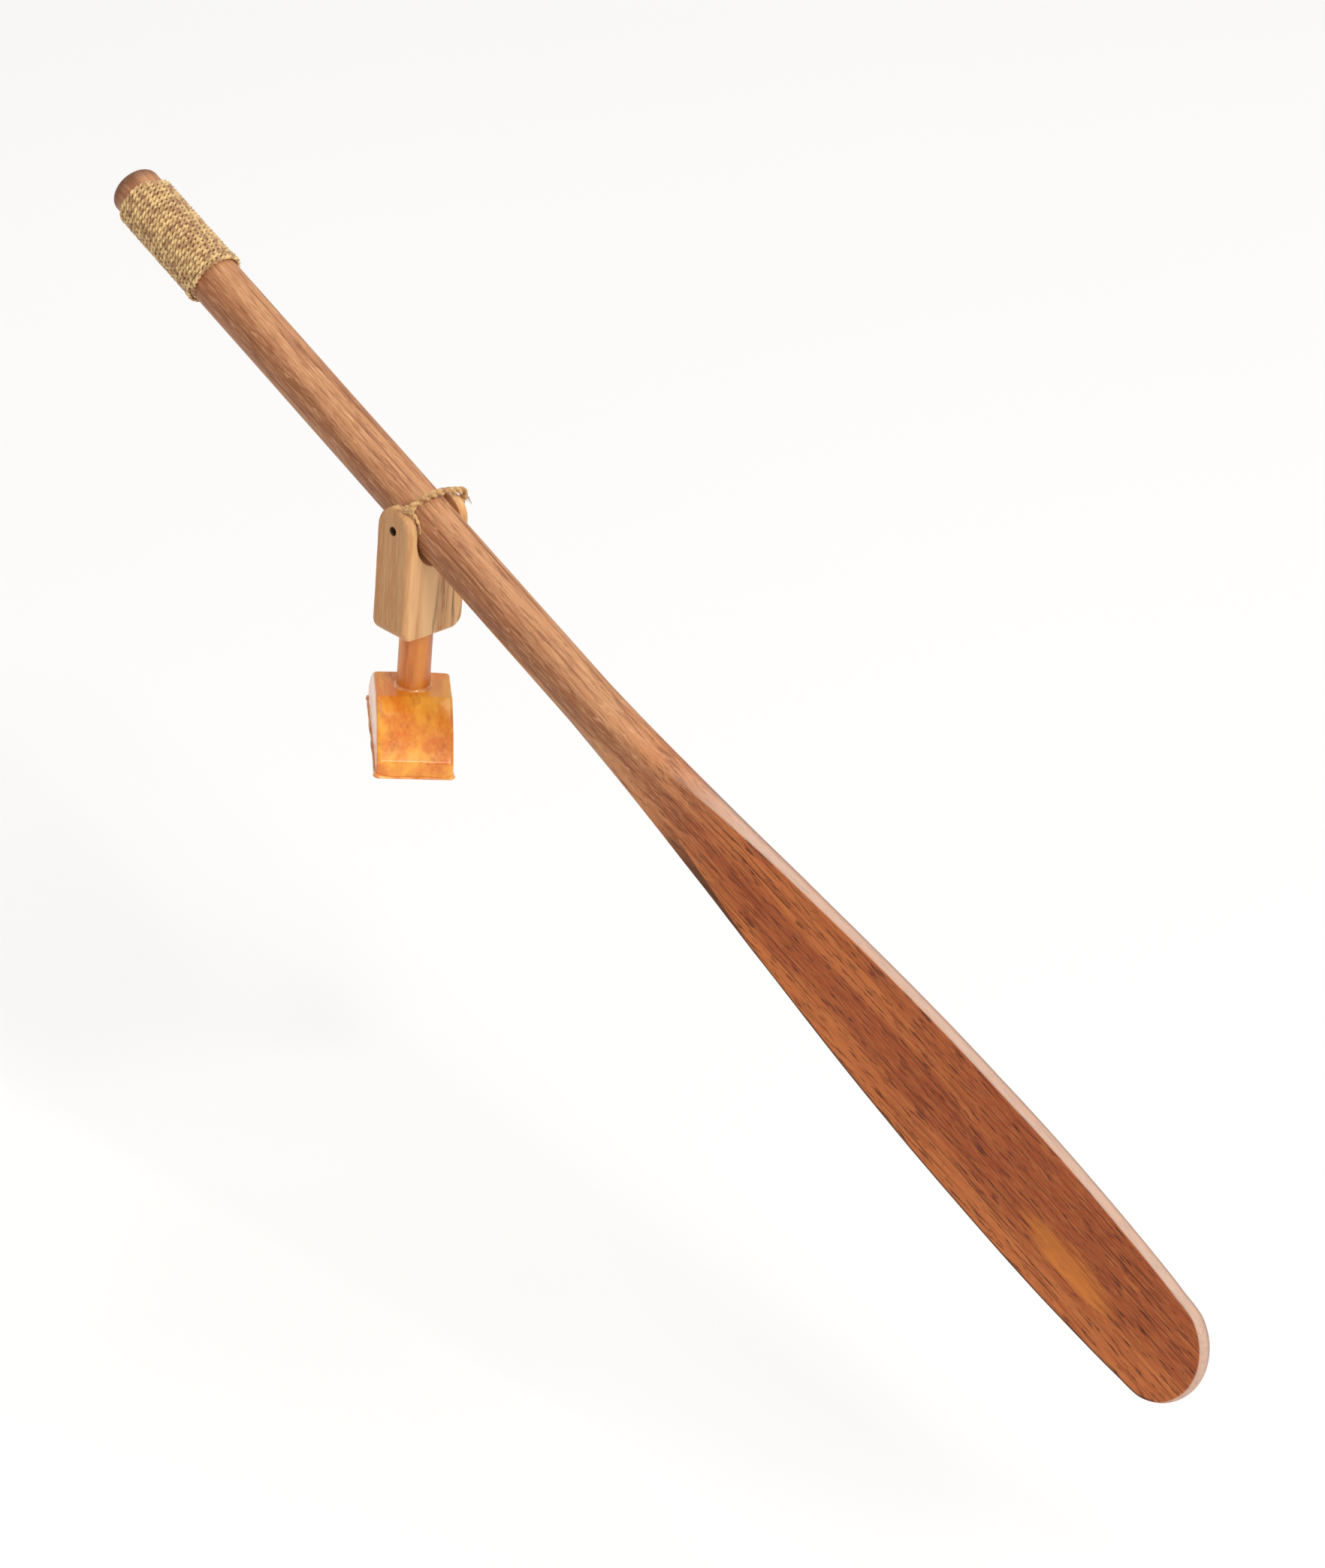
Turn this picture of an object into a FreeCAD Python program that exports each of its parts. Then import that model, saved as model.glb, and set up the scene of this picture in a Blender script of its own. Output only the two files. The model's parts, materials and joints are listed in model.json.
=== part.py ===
import FreeCAD, Part
import math
import os

V = FreeCAD.Vector

# Model rowing oar tied in its rowlock, in millimetres.
# Origin: middle of the base block's glued underside. +Z is up the pin, +Y runs along
# the gunwale (the block's long way) and +X points outboard.

# How the oar lies at rest
OAR_HEADING = -51.0            # blade's level direction, degrees from +X about +Z
OAR_DIP = 22.5                 # blade below level
BLADE_ROLL = 83.0              # blade turned about the oar, 0 flat and 90 square
DIP_LOWEST = 30.0              # steepest that the saddle lets the blade point down
DIP_HIGHEST = -10.0            # furthest that the saddle lets the blade lift

# Oar, one carved stick
OAR_LENGTH = 302.0
GRIP_TO_PIVOT = 90.5
LOOM_R = 4.75
GRIP_DOME = 2.6                # how far the rounded grip end bulges
BLADE_LENGTH = 164.0           # neck to tip
BLADE_WIDTH = 24.0
BLADE_WIDEST_AT = 118.0        # from the neck
BLADE_TIP_WIDTH = 19.4         # before the tip is rounded off
BLADE_FLARE = 1.25             # above 1 the neck widens more slowly
BLADE_THICK = 3.0              # where it has become flat
BLADE_FLAT_AT = 52.0           # from the neck
BLADE_TIP_THICK = 2.7
TIP_ROUND_LENGTH = 10.0
TIP_ROUND_WIDTH = 21.4
SQUARENESS = 5.0               # section's power once flat, where 2 is an ellipse
SECTION_POINTS = 32
NECK_STEP = 0.02               # the blade starts this much inside the loom's end face
BLADE_STATIONS = 16
TIP_OVERRUN = 2.0              # blade left past the tip before the tip is cut round

# Thread wound round the grip
WHIP_START = 4.6               # bare wood left at the grip end
WHIP_TURNS = 24
WHIP_PITCH = 0.95
WHIP_THREAD = 0.8

# Crutch, the forked block that the oar lies in
CRUTCH_WIDTH = 14.4            # across the two ears
CRUTCH_DEPTH = 8.5             # along the oar
CRUTCH_DROP = 20.9             # thread hole to underside
OAR_ABOVE_HOLE = 1.2           # oar's axis above the line through the thread holes
SADDLE_R = 5.1
EAR_HOLE_R = 0.8
EAR_EDGE = 0.8                 # rounding of the ears' outer rims
FOOT_ROUND = 2.6               # rounding of the two lower corners
EAR_R = CRUTCH_DEPTH / 2       # the ears end in a half round about the thread hole

# Lashing, measured square to the oar from the thread hole
LASH_R = 0.725
LASH_STANDOFF = 1.0            # thread's line out from the ear's face, and its bend there
LASH_CORNER_R = 1.6            # bend over each ear
LASH_SHOULDER = 5.2            # height of the line at the ears
LASH_CREST = 7.35              # height at which the two slopes over the loom would meet
LASH_IN_EAR = 0.25             # end of the thread short of the saddle
LASH_KNOT_R = 1.15
LASH_KNOT_OUT = 6.15           # knot's middle from the saddle's middle, over the other ear
LASH_KNOT_GAP = 0.05           # knot to the ear's round top

# Pin
PIN_R = 3.05
PIN_SHOWING = 11.5
PIN_IN_BLOCK = 7.0
PIN_IN_CRUTCH = 8.0
RUNNING_GAP = 0.06
THRUST_GAP = 0.05
PIN_CHAMFER = 0.4

# Base block
BLOCK_WIDTH = 13.8
BLOCK_LENGTH = 31.0
BLOCK_HEIGHT = 11.0
BLOCK_TOP_FLAT = 9.6
BLOCK_LIP = 3.2                # upright edge below each sloping end
BLOCK_SWELL = 0.7              # how far each sloping end swells past straight
BLOCK_SOFT = 0.6

HOLE_Z = BLOCK_HEIGHT + PIN_SHOWING + CRUTCH_DROP
NECK_X = OAR_LENGTH - GRIP_TO_PIVOT - BLADE_LENGTH
TIP_X = OAR_LENGTH - GRIP_TO_PIVOT


def turned(axis, degrees):
    """A placement that only turns, about an axis through the origin."""
    return FreeCAD.Placement(V(0, 0, 0), FreeCAD.Rotation(axis, degrees))


def crutch_frame():
    """Origin at the thread holes, X along the oar's level heading, Y across the ears."""
    return FreeCAD.Placement(V(0, 0, HOLE_Z), FreeCAD.Rotation(V(0, 0, 1), OAR_HEADING))


def lashing_frame():
    """As the crutch's, with X dipped along the oar."""
    return crutch_frame().multiply(turned(V(0, 1, 0), OAR_DIP))


def oar_frame():
    """X down the oar to the blade, Y across the blade's width, Z out of its face."""
    raised = FreeCAD.Placement(V(0, 0, OAR_ABOVE_HOLE), FreeCAD.Rotation(V(1, 0, 0), BLADE_ROLL))
    return lashing_frame().multiply(raised)


def moved(shape, placement):
    """The shape carried by a placement."""
    copy = shape.copy()
    copy.Placement = placement.multiply(copy.Placement)
    return copy


def export(shape, name):
    """Write one node as a STEP file, once it is known to be sound."""
    if not shape.isValid():
        raise ValueError(name + " is not a valid shape")
    print("%-14s solids %d, volume %.2f mm3" % (name, len(shape.Solids), shape.Volume))
    shape.exportStep("parts/" + name + ".step")


def line(start, end):
    return Part.LineSegment(start, end).toShape()


def arc(start, middle, end):
    return Part.Arc(start, middle, end).toShape()


def ease(t):
    """Smooth step from 0 to 1."""
    t = min(max(t, 0.0), 1.0)
    return t * t * (3 - 2 * t)


def blade_width(d):
    """Blade's width at a distance from the neck."""
    if d <= 0:
        return 2 * LOOM_R
    if d < BLADE_WIDEST_AT:
        swell = math.sin(math.pi / 2 * (d / BLADE_WIDEST_AT) ** BLADE_FLARE)
        return 2 * LOOM_R + (BLADE_WIDTH - 2 * LOOM_R) * swell
    past = (d - BLADE_WIDEST_AT) / (BLADE_LENGTH - BLADE_WIDEST_AT)
    return BLADE_WIDTH - (BLADE_WIDTH - BLADE_TIP_WIDTH) * past ** 2


def blade_thickness(d):
    """Blade's thickness at a distance from the neck."""
    if d < BLADE_FLAT_AT:
        return 2 * LOOM_R - (2 * LOOM_R - BLADE_THICK) * ease(d / BLADE_FLAT_AT)
    past = (d - BLADE_FLAT_AT) / (BLADE_LENGTH - BLADE_FLAT_AT)
    return BLADE_THICK - (BLADE_THICK - BLADE_TIP_THICK) * past


def signed_power(value, power):
    return math.copysign(abs(value) ** power, value)


def blade_section(d):
    """Closed outline across the blade: round at the neck, then squarer and flatter."""
    power = 2 / (2 + (SQUARENESS - 2) * ease(d / BLADE_FLAT_AT))
    points = []
    for i in range(SECTION_POINTS):
        turn = 2 * math.pi * i / SECTION_POINTS
        y = (blade_width(d) / 2 - NECK_STEP) * signed_power(math.cos(turn), power)
        z = (blade_thickness(d) / 2 - NECK_STEP) * signed_power(math.sin(turn), power)
        points.append(V(NECK_X + d, y, z))
    curve = Part.BSplineCurve()
    curve.interpolate(Points=points, PeriodicFlag=True)
    return Part.Wire([curve.toShape()])


def tip_outline():
    """Room for the blade seen square to its face: wide, with a half-round end."""
    half = TIP_ROUND_WIDTH / 2
    wide = BLADE_WIDTH
    round_x = TIP_X - TIP_ROUND_LENGTH
    root_x = NECK_X - LOOM_R
    ellipse = Part.Ellipse(V(round_x, half, 0), V(TIP_X, 0, 0), V(round_x, 0, 0))
    tip = Part.ArcOfEllipse(ellipse, 0, math.pi).toShape()
    sides = [
        line(V(round_x, half, 0), V(round_x, wide, 0)),
        line(V(round_x, wide, 0), V(root_x, wide, 0)),
        line(V(root_x, wide, 0), V(root_x, -wide, 0)),
        line(V(root_x, -wide, 0), V(round_x, -wide, 0)),
        line(V(round_x, -wide, 0), V(round_x, -half, 0)),
    ]
    outline = Part.Face(Part.Wire([tip] + sides))
    outline.translate(V(0, 0, -2 * LOOM_R))
    return outline.extrude(V(0, 0, 4 * LOOM_R))


def blade():
    """The flat end of the oar, lofted past the tip and then rounded off."""
    sections = []
    for i in range(BLADE_STATIONS + 1):
        sections.append(blade_section((BLADE_LENGTH + TIP_OVERRUN) * i / BLADE_STATIONS))
    return Part.makeLoft(sections, True, False).common(tip_outline())


def loom():
    """The round shaft with its domed grip end."""
    end_x = -GRIP_TO_PIVOT
    rim_x = end_x + GRIP_DOME
    half_way = math.sqrt(0.5)
    shoulder = V(rim_x - GRIP_DOME * half_way, LOOM_R * half_way, 0)
    edges = [
        arc(V(end_x, 0, 0), shoulder, V(rim_x, LOOM_R, 0)),
        line(V(rim_x, LOOM_R, 0), V(NECK_X, LOOM_R, 0)),
        line(V(NECK_X, LOOM_R, 0), V(NECK_X, 0, 0)),
        line(V(NECK_X, 0, 0), V(end_x, 0, 0)),
    ]
    return Part.Face(Part.Wire(edges)).revolve(V(0, 0, 0), V(1, 0, 0), 360)


def oar():
    return moved(loom().fuse(blade()).removeSplitter(), oar_frame())


def grip_whipping():
    """A sleeve ribbed once for each turn of the thread."""
    start = -GRIP_TO_PIVOT + WHIP_START
    rib_base = LOOM_R + WHIP_THREAD - WHIP_PITCH / 2
    edges = [line(V(start, LOOM_R, 0), V(start, rib_base, 0))]
    for turn in range(WHIP_TURNS):
        left = start + turn * WHIP_PITCH
        middle = V(left + WHIP_PITCH / 2, LOOM_R + WHIP_THREAD, 0)
        edges.append(arc(V(left, rib_base, 0), middle, V(left + WHIP_PITCH, rib_base, 0)))
    end = start + WHIP_TURNS * WHIP_PITCH
    edges.append(line(V(end, rib_base, 0), V(end, LOOM_R, 0)))
    edges.append(line(V(end, LOOM_R, 0), V(start, LOOM_R, 0)))
    sleeve = Part.Face(Part.Wire(edges)).revolve(V(0, 0, 0), V(1, 0, 0), 360)
    return moved(sleeve, oar_frame())


def saddle_cut(dip):
    """Room for the loom at one dip: round below and open above."""
    reach = 4 * CRUTCH_DEPTH
    below = Part.makeCylinder(SADDLE_R, reach, V(-reach / 2, 0, OAR_ABOVE_HOLE), V(1, 0, 0))
    above = Part.makeBox(reach, 2 * SADDLE_R, reach, V(-reach / 2, -SADDLE_R, OAR_ABOVE_HOLE))
    return moved(below.fuse(above), turned(V(0, 1, 0), dip))


def crutch_blank():
    """The fork's outer form: a block with half-round ear tops and eased corners."""
    half_depth = CRUTCH_DEPTH / 2
    half_width = CRUTCH_WIDTH / 2
    near_top = V(-half_depth, -half_width, 0)
    far_top = V(half_depth, -half_width, 0)
    near_foot = V(-half_depth, -half_width, -CRUTCH_DROP)
    far_foot = V(half_depth, -half_width, -CRUTCH_DROP)
    edges = [
        line(near_top, near_foot),
        line(near_foot, far_foot),
        line(far_foot, far_top),
        arc(far_top, V(0, -half_width, EAR_R), near_top),
    ]
    blank = Part.Face(Part.Wire(edges)).extrude(V(0, CRUTCH_WIDTH, 0))
    blank = blank.makeFillet(FOOT_ROUND, [e for e in blank.Edges if is_foot(e)])
    return blank.makeFillet(EAR_EDGE, [e for e in blank.Edges if is_ear_rim(e)])


def is_foot(edge):
    """True for the two lower corners below the ears' outer faces."""
    box = edge.BoundBox
    return box.YLength < 0.01 and box.ZMax < -CRUTCH_DROP + 0.01


def is_ear_rim(edge):
    """True for the edges round each ear's outer face, above the rounded feet."""
    box = edge.BoundBox
    on_face = abs(abs(box.YMin) - CRUTCH_WIDTH / 2) < 0.01 and box.YLength < 0.01
    return on_face and box.ZMax > -CRUTCH_DROP + FOOT_ROUND + 0.01


def crutch():
    fork = crutch_blank()
    for dip in (0, DIP_LOWEST, DIP_HIGHEST):
        fork = fork.cut(saddle_cut(dip))
    thread_hole = Part.makeCylinder(EAR_HOLE_R, 2 * CRUTCH_WIDTH, V(0, -CRUTCH_WIDTH, 0), V(0, 1, 0))
    bore_depth = PIN_IN_CRUTCH + THRUST_GAP
    bore = Part.makeCylinder(PIN_R + RUNNING_GAP, bore_depth, V(0, 0, -CRUTCH_DROP))
    return moved(fork.cut(thread_hole).cut(bore), crutch_frame())


def rounded_path(points, radii):
    """Straight runs through the points, joined by tangent arcs of the given radii."""
    edges = []
    start = points[0]
    for i, radius in enumerate(radii):
        corner = points[i + 1]
        back = (points[i] - corner).normalize()
        ahead = (points[i + 2] - corner).normalize()
        half_angle = back.getAngle(ahead) / 2
        reach = radius / math.tan(half_angle)
        leave = corner + back * reach
        join = corner + ahead * reach
        bisector = (back + ahead).normalize()
        middle = corner + bisector * (radius / math.sin(half_angle) - radius)
        if (leave - start).Length > 0.001:
            edges.append(line(start, leave))
        edges.append(arc(leave, middle, join))
        start = join
    edges.append(line(start, points[-1]))
    return Part.Wire(edges)


def lashing():
    """One thread from the hole in one ear, up and over the loom, to a knot on top of the other ear."""
    side = CRUTCH_WIDTH / 2 + LASH_STANDOFF
    knot_up = EAR_R + LASH_KNOT_GAP + LASH_KNOT_R
    crest_turn = 2 * math.atan((LASH_CREST - LASH_SHOULDER) / side)
    crest_r = 0.45 * side / math.tan(crest_turn / 2)
    points = [
        V(0, SADDLE_R + LASH_IN_EAR, 0),
        V(0, side, 0),
        V(0, side, LASH_SHOULDER),
        V(0, 0, LASH_CREST),
        V(0, -LASH_KNOT_OUT, knot_up),
    ]
    path = rounded_path(points, [LASH_STANDOFF, LASH_CORNER_R, crest_r])
    section = Part.Wire([Part.makeCircle(LASH_R, points[0], V(0, 1, 0))])
    thread = path.makePipeShell([section], True, False)
    print("lashing thread %.1f mm long, swept volume over section times length %.4f"
          % (path.Length, thread.Volume / (math.pi * LASH_R ** 2 * path.Length)))
    knot = Part.makeSphere(LASH_KNOT_R, points[-1])
    return moved(thread.fuse(knot), lashing_frame())


def pin():
    length = PIN_IN_BLOCK + PIN_SHOWING + PIN_IN_CRUTCH
    rod = Part.makeCylinder(PIN_R, length, V(0, 0, BLOCK_HEIGHT - PIN_IN_BLOCK))
    rims = [e for e in rod.Edges if len(e.Vertexes) == 1 and e.BoundBox.ZLength < 0.01]
    return rod.makeChamfer(PIN_CHAMFER, rims)


def block_end(sign):
    """The swelling slope from the block's flat top to one end's upright lip."""
    top = V(0, sign * BLOCK_TOP_FLAT / 2, BLOCK_HEIGHT)
    lip = V(0, sign * BLOCK_LENGTH / 2, BLOCK_LIP)
    outward = V(0, sign * (BLOCK_HEIGHT - BLOCK_LIP), abs(lip.y - top.y)).normalize()
    return top, (top + lip) * 0.5 + outward * BLOCK_SWELL, lip


def base_block():
    top_a, swell_a, lip_a = block_end(-1)
    top_b, swell_b, lip_b = block_end(1)
    foot_a = V(0, -BLOCK_LENGTH / 2, 0)
    foot_b = V(0, BLOCK_LENGTH / 2, 0)
    edges = [
        line(foot_a, lip_a),
        arc(lip_a, swell_a, top_a),
        line(top_a, top_b),
        arc(top_b, swell_b, lip_b),
        line(lip_b, foot_b),
        line(foot_b, foot_a),
    ]
    side = Part.Face(Part.Wire(edges))
    side.translate(V(-BLOCK_WIDTH / 2, 0, 0))
    block = side.extrude(V(BLOCK_WIDTH, 0, 0))
    rims = [e for e in block.Edges if e.BoundBox.XLength < 0.01 and e.BoundBox.ZMax > 0.01]
    block = block.makeFillet(BLOCK_SOFT, rims)
    seat = Part.makeCylinder(PIN_R, PIN_IN_BLOCK, V(0, 0, BLOCK_HEIGHT - PIN_IN_BLOCK))
    return block.cut(seat)


def main():
    os.makedirs("parts", exist_ok=True)
    export(base_block(), "base_block")
    export(pin(), "pin")
    export(crutch(), "crutch")
    export(lashing(), "lashing")
    export(oar(), "oar")
    export(grip_whipping(), "grip_whipping")


main()
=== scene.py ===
import json
import math

import bpy
from mathutils import Matrix, Vector, noise


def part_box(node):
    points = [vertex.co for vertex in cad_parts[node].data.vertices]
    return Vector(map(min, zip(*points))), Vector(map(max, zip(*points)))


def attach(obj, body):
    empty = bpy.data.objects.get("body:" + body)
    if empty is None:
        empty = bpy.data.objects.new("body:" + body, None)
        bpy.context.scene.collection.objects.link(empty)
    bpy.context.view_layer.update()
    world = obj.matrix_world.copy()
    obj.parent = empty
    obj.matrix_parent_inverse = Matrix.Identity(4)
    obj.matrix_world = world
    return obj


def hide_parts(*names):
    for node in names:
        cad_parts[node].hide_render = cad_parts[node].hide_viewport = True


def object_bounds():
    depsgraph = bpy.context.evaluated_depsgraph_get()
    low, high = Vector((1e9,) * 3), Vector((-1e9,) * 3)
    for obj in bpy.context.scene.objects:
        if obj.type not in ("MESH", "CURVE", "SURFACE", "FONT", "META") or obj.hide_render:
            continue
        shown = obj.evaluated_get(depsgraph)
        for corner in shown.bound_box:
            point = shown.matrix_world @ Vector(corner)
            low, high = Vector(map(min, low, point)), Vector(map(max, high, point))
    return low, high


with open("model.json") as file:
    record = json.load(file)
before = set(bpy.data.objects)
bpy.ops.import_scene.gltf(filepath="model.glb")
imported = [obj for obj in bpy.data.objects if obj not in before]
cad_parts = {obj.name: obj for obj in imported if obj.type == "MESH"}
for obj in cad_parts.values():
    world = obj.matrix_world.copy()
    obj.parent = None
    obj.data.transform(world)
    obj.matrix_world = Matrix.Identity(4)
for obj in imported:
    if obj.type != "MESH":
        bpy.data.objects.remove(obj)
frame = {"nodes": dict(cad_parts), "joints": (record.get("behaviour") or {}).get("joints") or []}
cad_low, cad_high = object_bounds()

MM = 0.001
TAU = 2 * math.pi
UP = Vector((0, 0, 1))

# The oar, in millimetres, with stations measured along it from the pivot
LOOM_R = 4.75
GRIP_END = -90.5
GRIP_DOME = 2.6                # how far the rounded grip end bulges
NECK = 47.5
TIP = 211.5
TIP_ROUND = 10.0               # length of the rounded tip
TIP_HALF = 10.7                # half the width that the tip's rounding starts from
BLADE_HALF = 12.0
BLADE_TIP_HALF = 9.7
BLADE_WIDEST_AT = 118.0        # from the neck
BLADE_FLARE = 1.25             # above 1 the neck widens more slowly
BLADE_FLAT_HALF = 1.42         # half the thickness where the faces are flat
BLADE_EDGE_HALF = 1.75         # half the thickness that the edges are rounded from
BLADE_CORNER = 1.1             # how far in the edges' rounding reaches
BLADE_ROLL = 83.0              # degrees about the oar, 0 flat and 90 square
BLADE_LENGTH = TIP - NECK

# Thread wound round the grip
WHIP_START = GRIP_END + 4.6
WHIP_TURNS = 23.4
WHIP_PITCH = 0.945
WHIP_STEPS = 124               # points in one turn

# Pin and base block
BLOCK_TOP = 11.0
PIN_R = 3.05
FLOOR_DROP = 0.06              # metres from the part's lowest point to the floor

joints = {j["name"]: j for j in frame["joints"]}
HOLES = Vector(joints["oar_dip"]["pos_m"])
PIVOT = Vector(joints["oar_feather"]["pos_m"])
ALONG = Vector(joints["oar_feather"]["axis"]).normalized()
ACROSS = Vector(joints["oar_dip"]["axis"]).normalized()


# ---------------------------------------------------------------- frames

def axes(x, y, origin):
    """A matrix with those X and Y directions."""
    m = Matrix((x, y, x.cross(y))).transposed().to_4x4()
    m.translation = origin
    return m


LASHING = axes(ALONG, ACROSS, HOLES)
CRUTCH = axes(ACROSS.cross(UP), ACROSS, HOLES)
OAR = axes(ALONG, ACROSS, PIVOT) @ Matrix.Rotation(math.radians(BLADE_ROLL), 4, "X")


# ---------------------------------------------------------------- camera

CAMERA_FROM_PIVOT = Vector((-0.0811, -1.0185, 0.4872))
CAMERA_UP = Vector((-0.0178, 0.5694, 0.8218))
CAMERA_AHEAD = Vector((-0.0042, 0.8219, -0.5696))
LENS = 147.0


def make_camera():
    """A camera aimed so that the oar's two ends lie evenly about the middle of the view."""
    ends = [OAR @ Vector((GRIP_END * MM, 0, 0)), OAR @ Vector((TIP * MM, 0, 0))]
    place = PIVOT + CAMERA_FROM_PIVOT
    ahead = ((ends[0] - place).normalized() + (ends[1] - place).normalized()).normalized()
    turn = CAMERA_AHEAD.rotation_difference(ahead)
    up = (turn @ CAMERA_UP).normalized()
    right = ahead.cross(up).normalized()
    up = right.cross(ahead)
    data = bpy.data.cameras.new("camera")
    data.lens = LENS
    data.sensor_width = 36
    data.clip_start = 0.01
    data.clip_end = 100
    camera = bpy.data.objects.new("camera", data)
    look = Matrix((right, up, -ahead)).transposed().to_4x4()
    look.translation = place
    camera.matrix_world = look
    bpy.context.scene.collection.objects.link(camera)
    bpy.context.scene.camera = camera


# ---------------------------------------------------------------- small helpers

def ease(t):
    """Smooth step from 0 to 1."""
    t = min(max(t, 0.0), 1.0)
    return t * t * (3 - 2 * t)


def soft_min(a, b, width):
    """The smaller of two lengths, with a rounded change from one to the other."""
    share = max(width - abs(a - b), 0.0) / width
    return min(a, b) - share * share * width / 4


def wander(x, y, z, seed):
    """Smooth unevenness from about -1 to 1."""
    return noise.noise(Vector((x, y, z + 31.7 * seed)))


def make_piece(name, points, faces, matrix, material, painted_edge_light_and_shade=None):
    """A smooth shaded mesh object from points in millimetres, in the given frame."""
    mesh = bpy.data.meshes.new(name)
    mesh.from_pydata([Vector(p) * MM for p in points], [], faces)
    mesh.validate()
    mesh.update()
    # The optional point attribute weights the painted edge highlight and painted edge shade in the material.
    if painted_edge_light_and_shade is not None:
        attribute = mesh.attributes.new("painted_edge_light_and_shade", "FLOAT", "POINT")
        attribute.data.foreach_set("value", painted_edge_light_and_shade)
    mesh.materials.append(material)
    mesh.polygons.foreach_set("use_smooth", [True] * len(mesh.polygons))
    piece = bpy.data.objects.new(name, mesh)
    piece.matrix_world = matrix
    bpy.context.scene.collection.objects.link(piece)
    return piece


def skin(rings, first=0):
    """Quads between rings of equal size and a fan over each end. first is the first point's number."""
    n = len(rings[0])
    faces = []
    for r in range(len(rings) - 1):
        base = first + r * n
        for i in range(n):
            j = (i + 1) % n
            faces.append((base + i, base + j, base + n + j, base + n + i))
    points = [p for ring in rings for p in ring]
    for ring_index, flip in ((0, True), (len(rings) - 1, False)):
        centre = sum((Vector(p) for p in rings[ring_index]), Vector()) / n
        points.append(centre)
        hub = first + len(points) - 1
        base = first + ring_index * n
        for i in range(n):
            j = (i + 1) % n
            faces.append((base + j, base + i, hub) if flip else (base + i, base + j, hub))
    return points, faces


def hoop(rings):
    """Quads between rings of equal size that run round in a loop, back to the first."""
    n = len(rings[0])
    faces = []
    for r in range(len(rings)):
        s = (r + 1) % len(rings)
        for i in range(n):
            j = (i + 1) % n
            faces.append((r * n + i, r * n + j, s * n + j, s * n + i))
    return [p for ring in rings for p in ring], faces


# ---------------------------------------------------------------- materials

class Maker:
    """Short calls for building one node material."""

    def __init__(self, name):
        self.material = bpy.data.materials.new(name)
        self.material.use_nodes = True
        self.tree = self.material.node_tree
        self.shader = self.tree.nodes["Principled BSDF"]

    def node(self, kind, **values):
        node = self.tree.nodes.new(kind)
        for key, value in values.items():
            setattr(node, key, value)
        return node

    def link(self, source, target):
        if isinstance(source, (int, float, tuple, list)):
            target.default_value = source
        else:
            self.tree.links.new(source, target)

    def place(self, scale, offset=(0, 0, 0), warp=None):
        """The object's own coordinates in millimetres, times scale."""
        coord = self.node("ShaderNodeTexCoord").outputs["Object"]
        mapping = self.node("ShaderNodeMapping")
        self.link(coord, mapping.inputs["Vector"])
        mapping.inputs["Scale"].default_value = [s / MM for s in scale]
        mapping.inputs["Location"].default_value = offset
        if warp is None:
            return mapping.outputs["Vector"]
        add = self.node("ShaderNodeVectorMath", operation="ADD")
        self.link(mapping.outputs["Vector"], add.inputs[0])
        self.link(warp, add.inputs[1])
        return add.outputs["Vector"]

    def noise(self, vector, detail=2.0, rough=0.5, output="Fac"):
        n = self.node("ShaderNodeTexNoise")
        self.link(vector, n.inputs["Vector"])
        n.inputs["Scale"].default_value = 1.0
        n.inputs["Detail"].default_value = detail
        n.inputs["Roughness"].default_value = rough
        return n.outputs[output]

    def noise_colour(self, vector):
        """Three noises at once, for pushing a texture's coordinates about."""
        return self.noise(vector, 1.0, output="Color")

    def math(self, operation, a, b=0.0):
        n = self.node("ShaderNodeMath", operation=operation)
        self.link(a, n.inputs[0])
        self.link(b, n.inputs[1])
        return n.outputs[0]

    def plus(self, a, b):
        return self.math("ADD", a, b)

    def times(self, a, b):
        return self.math("MULTIPLY", a, b)

    def length(self, a, b):
        """Length of the vector with these two parts."""
        return self.math("SQRT", self.plus(self.times(a, a), self.times(b, b)))

    def scaled(self, vector, by):
        n = self.node("ShaderNodeVectorMath", operation="MULTIPLY")
        self.link(vector, n.inputs[0])
        n.inputs[1].default_value = by
        return n.outputs["Vector"]

    def band(self, value, low, high, to_low=0.0, to_high=1.0):
        """Smooth step of a value between two limits, which may be given in falling order."""
        n = self.node("ShaderNodeMapRange", interpolation_type="SMOOTHSTEP")
        self.link(value, n.inputs["Value"])
        n.inputs["From Min"].default_value = low
        n.inputs["From Max"].default_value = high
        n.inputs["To Min"].default_value = to_low
        n.inputs["To Max"].default_value = to_high
        return n.outputs["Result"]

    def mix(self, share, a, b):
        n = self.node("ShaderNodeMix", data_type="RGBA")
        self.link(share, n.inputs["Factor"])
        self.link(a, n.inputs["A"])
        self.link(b, n.inputs["B"])
        return n.outputs["Result"]

    def split(self, vector):
        n = self.node("ShaderNodeSeparateXYZ")
        self.link(vector, n.inputs[0])
        return n.outputs

    def attribute(self, name):
        return self.node("ShaderNodeAttribute", attribute_name=name).outputs["Fac"]

    def bump(self, height, depth_mm, strength=1.0, below=None):
        n = self.node("ShaderNodeBump")
        n.inputs["Strength"].default_value = strength
        n.inputs["Distance"].default_value = depth_mm * MM
        self.link(height, n.inputs["Height"])
        if below is not None:
            self.link(below, n.inputs["Normal"])
        return n.outputs["Normal"]

    def finish(self, colour, roughness, normal, coat=0.0, coat_roughness=0.1, sheen=0.0, specular=0.5):
        self.link(colour, self.shader.inputs["Base Color"])
        self.link(roughness, self.shader.inputs["Roughness"])
        self.link(normal, self.shader.inputs["Normal"])
        self.shader.inputs["Specular IOR Level"].default_value = specular
        self.shader.inputs["Coat Weight"].default_value = coat
        self.shader.inputs["Coat Roughness"].default_value = coat_roughness
        self.shader.inputs["Sheen Weight"].default_value = sheen
        return self.material


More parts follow.
